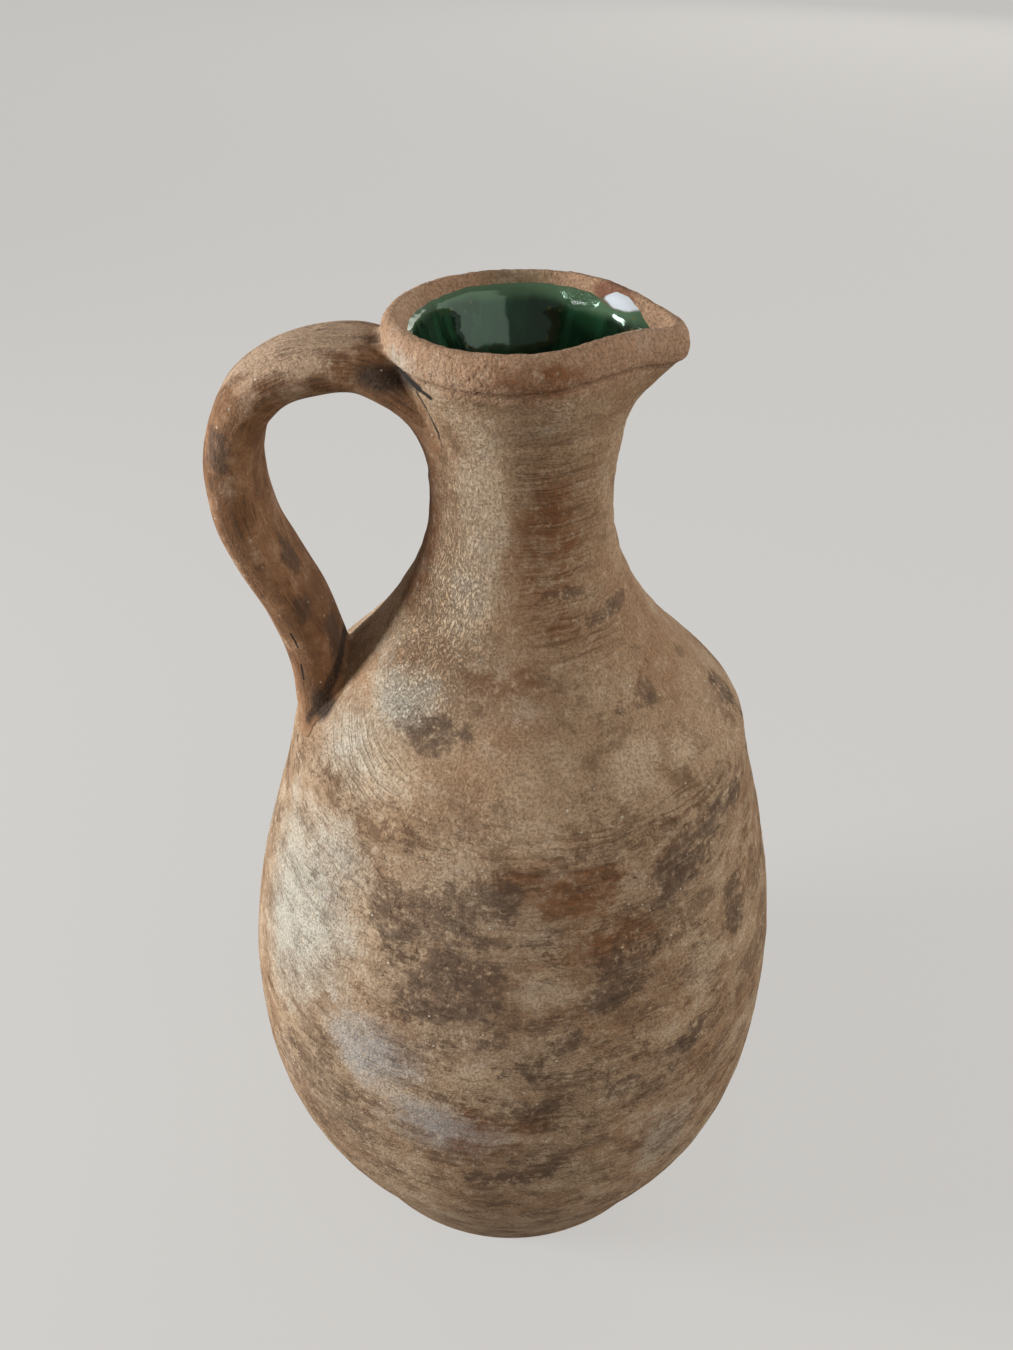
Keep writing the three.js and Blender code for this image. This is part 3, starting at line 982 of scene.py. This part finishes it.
# Marks on the body: centre, reach along X, Y and Z, strength
SMOKE_MARKS = (
    ((-32, -70, 193), (30, 30, 21), 1),
    ((-13, -76, 200), (24, 30, 14), 1),
    ((-22, -80, 176), (32, 40, 36), 0.7),
    ((-10, -88, 152), (18, 30, 20), 0.55),
    ((47, -63, 199), (22, 30, 14), 0.8),
    ((60, -52, 206), (14, 30, 10), 0.8),
    ((29, -81, 172), (19, 30, 18), 0.85),
    ((68, -50, 173), (10, 20, 16), 0.9),
    ((13, -88, 155), (13, 20, 9), 0.9),
    ((2, -93, 128), (20, 20, 8), 0.6),
    ((31, -88, 130), (12, 20, 8), 0.85),
    ((52, -76, 140), (12, 20, 10), 0.7),
    ((-79, -54, 98), (12, 20, 30), 0.9),
    ((-26, -42, 237), (24, 20, 11), 0.55),
    ((33, -32, 243), (14, 20, 14), 0.55),
    ((17, -27, 270), (20, 16, 4), 0.75),
    ((24, -22, 262), (14, 16, 4), 0.6),
    ((66, -4, 221), (8, 14, 14), 0.6),
    ((66, -30, 206), (12, 20, 14), 0.55),
    ((0, -90, 96), (44, 30, 16), 0.5),
    ((-6, -90, 144), (36, 30, 16), 0.35),
    ((20, 70, 205), (30, 30, 17), 0.8),
    ((-50, 66, 150), (26, 30, 22), 0.7),
    ((60, 60, 120), (24, 30, 16), 0.8),
    ((-10, 84, 178), (22, 30, 14), 0.8),
)
# Ash; the marks on the left of the belly, shoulder, neck and collar are also painted light on the lit side
ASH_AND_LIGHT_MARKS = (
    ((-74, -50, 172), (46, 46, 70), 0.95),
    ((-60, -58, 200), (30, 36, 30), 0.75),
    ((-50, -34, 226), (34, 34, 24), 0.55),
    ((-36, -34, 241), (24, 22, 17), 0.75),
    ((-14, -26, 288), (18, 16, 62), 0.34),
    ((-30, -20, 334), (16, 14, 8), 0.45),
    ((-84, 20, 150), (40, 50, 60), 0.8),
    ((48, -74, 92), (24, 30, 32), 0.65),
    ((30, 84, 128), (36, 40, 36), 0.6),
)
BLOOM_MARKS = (
    ((-46, -80, 138), (28, 30, 24), 1),
    ((-26, -88, 116), (32, 34, 21), 0.8),
)
# Pale clay; the first three marks, on the left of the neck and shoulder, are painted light where the lamp
# falls
PALE_AND_LIT_MARKS = (
    ((-13, -26, 286), (17, 16, 68), 1.1),
    ((-36, -36, 242), (28, 28, 24), 1),
    ((-46, -44, 226), (40, 34, 26), 0.9),
    ((33, -48, 227), (18, 24, 14), 1),
    ((10, -52, 234), (14, 24, 11), 0.5),
    ((48, -38, 226), (14, 24, 13), 0.8),
    ((12, -90, 141), (14, 20, 9), 0.6),
    ((56, -66, 162), (18, 24, 24), 0.95),
    ((-2, -70, 217), (36, 24, 7), 0.6),
    ((38, -88, 106), (9, 24, 18), 0.6),
    ((8, -84, 172), (20, 24, 12), 0.8),
    ((-6, -66, 224), (14, 24, 8), 0.6),
    ((-48, 52, 205), (28, 30, 22), 0.7),
    ((58, 40, 190), (24, 30, 22), 0.7),
)
# Red flashes; the last mark, on the middle of the shoulder, is painted shade
RED_AND_SHADE_MARKS = (
    ((12, -74, 207), (46, 34, 8), 1),
    ((16, -76, 201), (26, 34, 14), 1),
    ((26, -80, 186), (34, 34, 14), 0.7),
    ((-10, -92, 116), (46, 34, 26), 0.7),
    ((8, -30, 285), (26, 20, 50), 0.7),
    ((4, -37, 333), (28, 16, 13), 0.95),
    ((64, -46, 190), (14, 24, 12), 0.6),
    ((-5, -38, 252), (24, 22, 15), 0.55),
)
# Thin smoke; the marks low on the left of the belly and on the middle of the shoulder are painted shade
HAZE_AND_SHADE_MARKS = (
    ((-20, -80, 174), (38, 44, 50), 0.95),
    ((46, -62, 200), (30, 40, 20), 0.6),
    ((30, -80, 172), (26, 30, 28), 0.55),
    ((0, -92, 100), (64, 44, 32), 0.45),
    ((38, -84, 130), (30, 30, 20), 0.4),
    ((-60, -73, 98), (34, 32, 42), 0.95),
    ((-3, -40, 250), (26, 26, 16), 0.6),
    ((-18, -66, 212), (30, 34, 18), 0.35),
    ((0, 88, 120), (60, 44, 40), 0.5),
)
RULED_MARKS = (
    ((9, -28, 290), (18, 24, 46), 1),
    ((16, -30, 262), (22, 24, 16), 1),
    ((34, -56, 214), (52, 44, 10), 1),
    ((20, -76, 190), (50, 34, 14), 0.8),
)

# Single places on the body and the glaze: centre and reach. The comb swings round a centre of its own, and
# its teeth are counted along a metre.
# The first place is painted shade: red-brown on the neck's left, in the strap's shadow
NECK_PAINTED_SHADE = ((-28, -8, 285), (12, 13, 56))
BARK_AREA = ((-24, -28, 268), (28, 30, 75))
COMBED_AREA = ((-46, -43, 224), (24, 30, 17))
COMBED_CENTRE = (-22, -46, 270)
COMB_TEETH = 900
COMB_BREAKS = 60
WASHED_AREA = ((-3, 32, 338), (30, 5, 4))
RUST_AREA = ((24, 13.5, 339), (10.5, 10, 3.4))
GRAINY_AREA = ((-14, -34, 333), (20, 18, 9))
# The bluish white on the raised glaze beside the lip is a painted reflection; the rust round it is the
# glaze's thin brown edge
PAINTED_REFLECTION_AREA = ((26.8, 10.8, 338.8), (8, 8, 2.7))
RUST_ROUND_PAINTED_REFLECTION = ((25.8, 11.9, 339.1), (9.7, 9.9, 3.3))
CRYSTALS_AREA = ((16.5, 21, 336.4), (9, 8, 3.4))

# Cracks: start, end, width. Distance along Y beside them counts by the share LOOSE.
LOOSE = 0.3
# The two widest lines, under the collar, are painted shade along the shadow there; the rest is a crack down
# the neck
NECK_CRACKS_AND_SHADE = (
    ((-31, -16, 330), (-25.8, -21.3, 327.6), 1.9),
    ((-25.8, -21.3, 327.6), (-22.7, -24, 326.2), 1),
    ((-26.2, -20, 326), (-24.1, -19.5, 321.5), 0.6),
    ((-24.1, -19.5, 321.5), (-21.2, -20, 315.2), 0.5),
    ((-21.2, -20, 315.2), (-20.4, -19, 311), 0.38),
)
STRAP_CRACKS = (
    ((-66.4, -14.2, 250), (-64.8, -14.2, 245.5), 0.45),
    ((-64.6, -14.2, 239), (-64.3, -14.4, 233.5), 0.4),
    ((-58.6, -4, 334), (-49.6, 2, 334.6), 0.4),
)
FOOT_SEAM = (
    ((-53.1, 0.2, 239.5), (-54.2, -12.1, 236), 2.2),
    ((-54.2, -12.1, 236), (-58.9, -17.3, 227.9), 2.4),
    ((-58.9, -17.3, 227.9), (-64.4, -18.5, 219.9), 1.8),
    ((-53.1, 0.2, 239.5), (-54.2, 12.1, 236), 2),
    ((-54.2, 12.1, 236), (-59.5, 17, 226), 1.8),
)

# Marks on the strap, dust and painted highlight, and painted shade in the wedges at its ends: centre,
# reach, strength
STRAP_MARKS = (
    ((-78, -13, 307), (8, 9, 13), 0.95),
    ((-37, -5, 335), (9, 8, 4), 0.7),
    ((-66, -6, 271), (7, 9, 18), 0.9),
    ((-54.5, -8, 243), (6, 12, 18), 1),
    ((-62, -12, 258), (7, 8, 12), 0.6),
    ((-76, 8, 290), (9, 12, 18), 0.35),
)
# Dust, and painted highlight along the strap's lit top and outer face
DUST_AND_HIGHLIGHT_MARKS = (
    ((-60, 0, 334), (42, 26, 24), 1),
    ((-86, 2, 300), (9, 18, 40), 0.6),
    ((-76, 0, 262), (9, 20, 30), 0.6),
)
STRAP_FLUSH = (
    ((-60, -8, 246), (16, 20, 36), 0.5),
    ((-58, -19, 319), (32, 9, 20), 0.65),
    ((-80, -19, 288), (10, 10, 34), 0.75),
)
# Painted shade in the crevice under the strap's foot and in the wedge under the collar at its top
FOOT_CREVICE_SHADE = ((-59, -16.5, 226), (6, 5, 9), 1)
ROOT_WEDGE_SHADE = ((-33, -16.5, 328), (12, 7, 5.5), 1)


def joints_and_painted_shade(finish, near):
    """1 in the dark gaps where the strap meets the body and in the crack down the neck, and painted shade
    in the wedges at the strap's ends and under the collar.
    """
    # Painted shade in the wedges at both ends of the strap
    painted_shade_wedges = finish.patches(near, (FOOT_CREVICE_SHADE, ROOT_WEDGE_SHADE), 0.4) * 0.9
    seams = finish.cracks(finish.warped(1, 4), FOOT_SEAM) * 0.85
    return painted_shade_wedges.at_least(seams).at_least(finish.cracks(finish.warped(0.5, 2.5), NECK_CRACKS_AND_SHADE))


def clay_patterns(finish):
    """The noises that the marks on the body share; breaks tears their edges."""
    look = SimpleNamespace(near=finish.warped(5, 16), far=finish.warped(12, 40), height=finish.height())
    look.mottle = finish.noise(look.near, 12, 7, 0.68)
    look.coarse = finish.noise(finish.place, 2.6, 4, 0.7)
    look.wiped = finish.noise(look.near, (17, 17, 2.2), 6, 0.72)
    look.drifts = finish.noise(look.far, (19, 19, 11), 7, 0.7)
    look.clouds = finish.noise(look.far, 34, 6, 0.62)
    look.grain = finish.noise(finish.place, 0.8, 3, 0.7)
    look.below_shoulder = finish.ramp(look.height, *SHOULDER_FADE)
    look.collar = finish.ramp(look.height, *COLLAR_START)
    look.breaks = (look.mottle - 0.5) * 2.4 + (look.drifts - 0.5) * 1.6 + (look.coarse - 0.5) * 1.3
    look.streaked = look.mottle + (look.wiped - 0.5) * 0.5 + (look.coarse - 0.5) * 0.6
    veins = finish.crease(look.drifts - 0.06, 0.02) * finish.ramp(look.coarse, 0.4, 0.55)
    look.veins = veins * look.below_shoulder
    return look


def add_tool_marks(finish, look):
    """Ruled lines, scratches, bark and combed arcs, which are both coloured and cut in."""
    wiped_over = finish.ramp(look.drifts, 0.42, 0.6) * look.below_shoulder * 0.7
    look.ruled = finish.patches(look.near, RULED_MARKS, 0.35).at_least(wiped_over)
    look.lines = finish.noise(look.near, (26, 26, 0.95), 4, 0.62)
    scraped = finish.crease(finish.noise(look.far, (34, 34, 2.4), 4, 0.66), 0.022)
    look.scratches = scraped * finish.ramp(look.mottle, 0.46, 0.56) * look.below_shoulder
    bark = finish.crease(finish.noise(look.near, (1, 1, 4.5), 4, 0.68), 0.07)
    look.bark = bark * finish.patch(look.near, *BARK_AREA, 0.2)
    radius = finish.vector("DISTANCE", look.near, metres(COMBED_CENTRE), 1)
    pattern = {0: radius * COMB_TEETH, 1: look.height * COMB_BREAKS, 2: 0}
    teeth = finish.add("ShaderNodeCombineXYZ", None, pattern)
    comb = finish.add("ShaderNodeTexNoise", None, {"Vector": teeth, "Scale": 1, "Detail": 2})
    look.arcs = finish.ramp(comb, 0.51, 0.6) * finish.patch(look.near, *COMBED_AREA, 0.35)


def bare_clay(finish, look):
    """The clay's own tans and browns, pinker on the collar."""
    return finish.coated(WARM_TAN, (
        (finish.ramp(look.clouds, 0.36, 0.62), TAN),
        (finish.ramp(look.mottle + (look.wiped - 0.5) * 0.4, 0.52, 0.68) * 0.6, BROWN),
        (finish.ramp(look.mottle + (look.wiped - 0.5) * 0.3, 0.47, 0.32) * 0.5, PALE),
        (look.collar * 0.7, PINK_TAN),
    ))


def flashed(finish, look, colour):
    """Red flashes and painted shade, brown drifts with thin veins, pale places and painted light."""
    # Red flashes, and painted shade on the middle of the shoulder
    red = finish.ramp(finish.patches(look.far, RED_AND_SHADE_MARKS, 0) + look.breaks * 0.4, 0.3, 0.7)
    # Painted shade: red-brown on the neck's left, in the strap's shadow
    red = red.at_least(finish.patch(look.near, *NECK_PAINTED_SHADE, 0.4))
    brown_drifts = finish.ramp(look.drifts + (look.coarse - 0.5) * 0.25, 0.55, 0.61)
    pale_drifts = finish.ramp(look.drifts + (look.coarse - 0.5) * 0.2, 0.45, 0.37)
    # Pale clay, and painted light on the lit left of the neck and shoulder
    pale = finish.ramp(finish.patches(look.far, PALE_AND_LIT_MARKS, 0) - look.breaks * 0.4, 0.3, 0.8)
    return finish.coated(colour, (
        (red * finish.ramp(look.streaked, 0.36, 0.62, 0.4, 0.9), RED_BROWN),
        (brown_drifts * look.below_shoulder * 0.62, BROWN),
        (look.veins * 0.7, LINE_BROWN),
        (pale_drifts * look.below_shoulder * 0.5, PALE),
        (pale * 0.75, PALE),
    ))


def smoked(finish, look, colour):
    """Ash and painted light, thin smoke and painted shade, bloom, and dense smoke with a darker ring round
    it.
    """
    # Ash, and painted light on the lit left side
    ash_and_light = finish.ramp(finish.patches(look.far, ASH_AND_LIGHT_MARKS, 0) - look.breaks * 0.32, 0.12, 0.9)
    # Thin smoke, and painted shade low on the left and on the middle of the shoulder
    haze_and_shade = finish.patches(look.far, HAZE_AND_SHADE_MARKS, 0) * finish.ramp(look.streaked, 0.34, 0.64, 0.45, 1)
    bloom = finish.ramp(finish.patches(look.far, BLOOM_MARKS, 0) - look.breaks * 0.55, 0.05, 1)
    inside = finish.patches(look.far, SMOKE_MARKS, 0)
    smoke = finish.ramp(inside + look.breaks * finish.ramp(inside, 0, 0.3) * 1.1, 0.28, 0.72)
    soot = finish.ramp(look.grain * 0.3 + look.coarse * 0.3 + look.mottle * 0.4, 0.4, 0.6, 0.2, 0.8)
    rings = finish.ramp(smoke, 0.05, 0.35) * finish.ramp(smoke, 0.85, 0.5)
    return finish.coated(colour, (
        (ash_and_light * 0.9, ASH_AND_LIGHT),
        (haze_and_shade * 0.62, SMOKE_AND_SHADE),
        (bloom * finish.ramp(look.grain, 0.36, 0.6, 0.3, 0.85), BLOOM),
        (smoke * soot, SMOKE_AND_SHADE),
        (rings * 0.3, SMOKE_AND_SHADE),
    ))


def tooled(finish, look, colour):
    return finish.coated(colour, (
        (finish.ramp(look.lines, 0.54, 0.62) * look.ruled * 0.65, LINE_BROWN),
        (finish.ramp(look.lines, 0.44, 0.38) * look.ruled * 0.3, PALE),
        (look.scratches * 0.6, BROWN),
        (look.bark * 0.45, BROWN),
        (look.arcs * 0.28, BROWN),
    ))


def grained(finish, look, colour):
    """Grog specks, dark and pale grains, and the glaze's wash and rust on the rim."""
    return finish.coated(colour, (
        (look.grog * 0.9, GROG),
        (finish.ramp(look.grain, 0.4, 0.64, 0, 0.6), BROWN),
        (finish.ramp(look.coarse, 0.45, 0.3) * 0.45, PALE),
        (finish.patch(look.near, *WASHED_AREA, 0.2) * 0.7, GLAZE_WASH),
        (finish.patch(finish.warped(1.5, 5), *RUST_AREA, 0.6) * 0.75, RUST),
    ))


def clay_relief(finish, look):
    """In millimetres."""
    pits = finish.specks(look.near, 3.4, 0.2, 0.08) * finish.ramp(look.drifts, 0.52, 0.58)
    bumps = finish.specks(finish.place, 1.9, 0.42, 0.1) * look.collar
    bumps = bumps * finish.patch(look.near, *GRAINY_AREA, 0.2) * finish.ramp(look.mottle, 0.42, 0.56)
    raised = look.grain * 0.3 + look.coarse * (0.58 + look.collar * 0.35) + look.mottle * 0.9
    raised = raised + look.wiped * 0.34 + look.grog * 0.15 + bumps * 0.35
    cut_in = look.scratches * 0.12 + look.bark * 0.45 + look.arcs * 0.25 + pits * 0.25
    cut_in = cut_in + look.gaps * 0.5 + look.lines * look.ruled * 1.1 + look.veins * 0.12
    return raised - cut_in


def clay_body():
    finish = Finish("fired clay, smoked")
    look = clay_patterns(finish)
    look.grog = finish.specks(finish.place, 4.5, 0.1, 0.06) * finish.ramp(look.clouds, 0.46, 0.52)
    # The gaps also carry painted shade in the wedges at the strap's ends and under the collar
    look.gaps = joints_and_painted_shade(finish, look.near)
    add_tool_marks(finish, look)
    colour = bare_clay(finish, look)
    for layer in (flashed, smoked, tooled, grained):
        colour = layer(finish, look, colour)
    # Dark gaps, and painted shade in the wedges at the strap's ends
    colour = finish.mix(look.gaps, colour, DARK_GAP_AND_SHADE)
    finish.wear_clay(colour, look.mottle, (0.78, 0.96), clay_relief(finish, look))
    return finish.material


def strap_patterns(finish):
    near = finish.warped(4, 14)
    return SimpleNamespace(
        near=near,
        mottle=finish.noise(near, 9, 7, 0.68),
        coarse=finish.noise(finish.place, 2.2, 4, 0.7),
        grain=finish.noise(finish.place, 0.8, 3, 0.7),
    )


def strap_colour(finish, look, streak, light):
    near = look.near
    mottle = look.mottle
    breaks = (mottle - 0.5) * 2.2 + (streak - 0.5) * 0.8
    wiped = mottle + (streak - 0.5) * 0.4
    # Dust where the clay was wiped least, and painted highlight on the strap's top and outer face
    dust_and_highlight = finish.ramp(wiped - finish.patches(near, DUST_AND_HIGHLIGHT_MARKS, 0) * 0.5, 0.46, 0.2)
    inside = finish.patches(near, STRAP_MARKS, 0)
    smoke = finish.ramp(inside + breaks * finish.ramp(inside, 0, 0.3), 0.26, 0.66)
    return finish.coated(light, (
        (finish.ramp(wiped, 0.3, 0.74), STRAP_BROWN),
        (finish.patches(near, STRAP_FLUSH, 0.3), STRAP_RUST),
        # Dust and painted highlight
        (dust_and_highlight * 0.8, STRAP_DUST_AND_HIGHLIGHT),
        (smoke * finish.ramp(look.grain, 0.34, 0.62, 0.4, 0.85), SMOKE_AND_SHADE),
        # Dark gaps, and painted shade in the wedges at the strap's ends
        (joints_and_painted_shade(finish, near), DARK_GAP_AND_SHADE),
        (finish.specks(finish.place, 4, 0.1, 0.06) * 0.7, GROG),
        (finish.ramp(look.grain, 0.4, 0.66, 0, 0.5), BROWN),
    ))


def handle_clay():
    finish = Finish("pulled clay, wiped")
    look = strap_patterns(finish)
    pulled = finish.noise(finish.along, (34, 1.7, 1), 4, 0.62)
    streak = finish.noise(finish.along, (60, 6, 1), 5, 0.66)
    colour = strap_colour(finish, look, streak, STRAP_TAN)
    drawn = finish.crease(pulled, 0.03) * finish.ramp(look.mottle, 0.42, 0.55)
    gaps = finish.cracks(finish.warped(0.8, 3), STRAP_CRACKS)
    colour = finish.coated(colour, ((drawn * 0.42, SMOKE_AND_SHADE), (gaps, DARK_GAP_AND_SHADE)))
    relief = look.grain * 0.32 + look.coarse * 0.6 + look.mottle * 0.9 + pulled * 0.3 + streak * 0.4
    finish.wear_clay(colour, look.mottle, (0.76, 0.95), relief - drawn * 0.15 - gaps * 0.5)
    return finish.material


def luting_clay():
    finish = Finish("luting clay, pressed")
    look = strap_patterns(finish)
    smeared = finish.noise(look.near, (5, 5, 3), 4, 0.62)
    relief = look.grain * 0.16 + look.coarse * 0.36 + look.mottle * 0.9 + smeared * 0.3
    finish.wear_clay(strap_colour(finish, look, smeared, WARM_TAN), look.mottle, (0.8, 0.95), relief)
    return finish.material


def green_glaze():
    finish = Finish("green glaze, poured")
    near = finish.warped(5, 14)
    pooled = finish.noise(near, (14, 14, 46), 4, 0.6)
    drips = finish.noise(near, (5, 5, 60), 3, 0.6)
    fine = finish.noise(finish.place, 1, 3, 0.6)
    thin = finish.ramp(finish.height() + (pooled - 0.5) * GLAZE_THIN_WANDER, *GLAZE_THINS)
    olive = finish.specks(near, 3.6, 0.22, 0.08) * finish.ramp(pooled, 0.5, 0.42)
    colour = finish.coated(GLAZE_DEEP, (
        (finish.ramp(pooled, 0.4, 0.62), GLAZE_GREEN),
        (finish.ramp(drips, 0.54, 0.66) * 0.5, GLAZE_DRIP),
        (thin * 0.8, GLAZE_THIN),
        (olive * 0.6, GLAZE_OLIVE),
        # A painted reflection: bluish white on the raised glaze beside the lip, inside the glaze's brown
        # edge
        (finish.patch(finish.warped(1.5, 5), *RUST_ROUND_PAINTED_REFLECTION, 0.7) * 0.8, RUST),
        (finish.patch(finish.warped(1.5, 5), *PAINTED_REFLECTION_AREA, 0.75), GLAZE_PAINTED_REFLECTION),
    ))
    crystals = finish.patch(near, *CRYSTALS_AREA, 0.3)
    ripple = finish.noise(finish.place, 9, 3)
    finish.wear({
        "Base Color": colour,
        "Roughness": finish.ramp(pooled, 0.3, 0.7, 0.06, 0.13),
        "Specular Tint": GLAZE_GLINT,
        "Coat Weight": 0.1,
        "Coat Roughness": 0.08,
        "Normal": finish.bumped(ripple * 0.12 + crystals * fine * 1.2),
    })
    return finish.material


# Studio. The floor and the lamps are placed in metres, the camera in millimetres.

FLOOR_SIZE = 24
FLOOR_GAP = 0.0001

# Lamps: name, place, height they aim at, size, power, colour, spread of the beam
LAMPS = (
    ("window", (-1.45, -0.09, 0.49), 0.17, (0.42, 0.42), 13.5, (0.96, 0.985, 1), 120),
    ("room", (1.6, -0.95, 0.8), 0.17, (3.4, 1.4), 28, (1, 0.97, 0.93), 180),
    ("wall_bounce", (2, 3.6, 1.6), 0.2, (3.2, 2.2), 58, (1, 0.97, 0.92), 180),
)

# Camera: place, turns about its own axes one after another, and lens
CAMERA_PLACE = (-9.264, -265.29, 428.55)
CAMERA_TURNS = (("Z", -1.3209), ("X", 52.3349), ("Z", 0.4945))
CAMERA_LENS = 28.08
CAMERA_SENSOR = 36
CAMERA_NEAR = 0.01


def make_floor():
    bpy.ops.mesh.primitive_plane_add(size=FLOOR_SIZE, location=(0, 0, -FLOOR_GAP))
    floor = bpy.context.object
    floor.name = "studio_floor"
    finish = Finish("studio paper, pale")
    seen = finish.seen_directly()
    finish.wear({
        "Base Color": finish.mix(seen, PAPER_BOUNCE, PAPER),
        "Emission Color": finish.mix(seen, BLACK, BACKDROP),
        "Emission Strength": 1,
        "Roughness": 1,
        "Specular IOR Level": 0,
    })
    floor.data.materials.append(finish.material)
    bpy.ops.object.select_all(action="DESELECT")


def make_lamp(name, place, aim, size, power, colour, beam):
    lamp = bpy.data.lights.new(name, "AREA")
    lamp.shape = "RECTANGLE"
    lamp.size, lamp.size_y = size
    lamp.energy = power
    lamp.color = colour
    lamp.spread = math.radians(beam)
    stand = bpy.data.objects.new(name, lamp)
    bpy.context.collection.objects.link(stand)
    stand.location = place
    stand.rotation_euler = (Vector((0, 0, aim)) - Vector(place)).to_track_quat("-Z", "Y").to_euler()


def make_world():
    world = bpy.data.worlds.new("studio air")
    bpy.context.scene.world = world
    air = Nodes(world)
    air.put(air.nodes["Background"].inputs["Color"], air.mix(air.seen_directly(), AIR, BACKDROP))


def make_camera():
    lens = bpy.data.cameras.new("photo_camera")
    lens.sensor_width = CAMERA_SENSOR
    lens.lens = CAMERA_LENS
    lens.clip_start = CAMERA_NEAR
    camera = bpy.data.objects.new("photo_camera", lens)
    bpy.context.collection.objects.link(camera)
    placed = Matrix.Translation(metres(CAMERA_PLACE))
    for axis, turn in CAMERA_TURNS:
        placed = placed @ Matrix.Rotation(math.radians(turn), 4, axis)
    camera.matrix_world = placed
    bpy.context.scene.camera = camera


make_camera()
make_vessel(clay_body())
make_handle(handle_clay())
luting = luting_clay()
for fillet in FILLETS:
    make_luting(*fillet, luting)
make_glaze(green_glaze())
make_floor()
for lamp in LAMPS:
    make_lamp(*lamp)
make_world()
bpy.context.scene.view_settings.view_transform = "Standard"
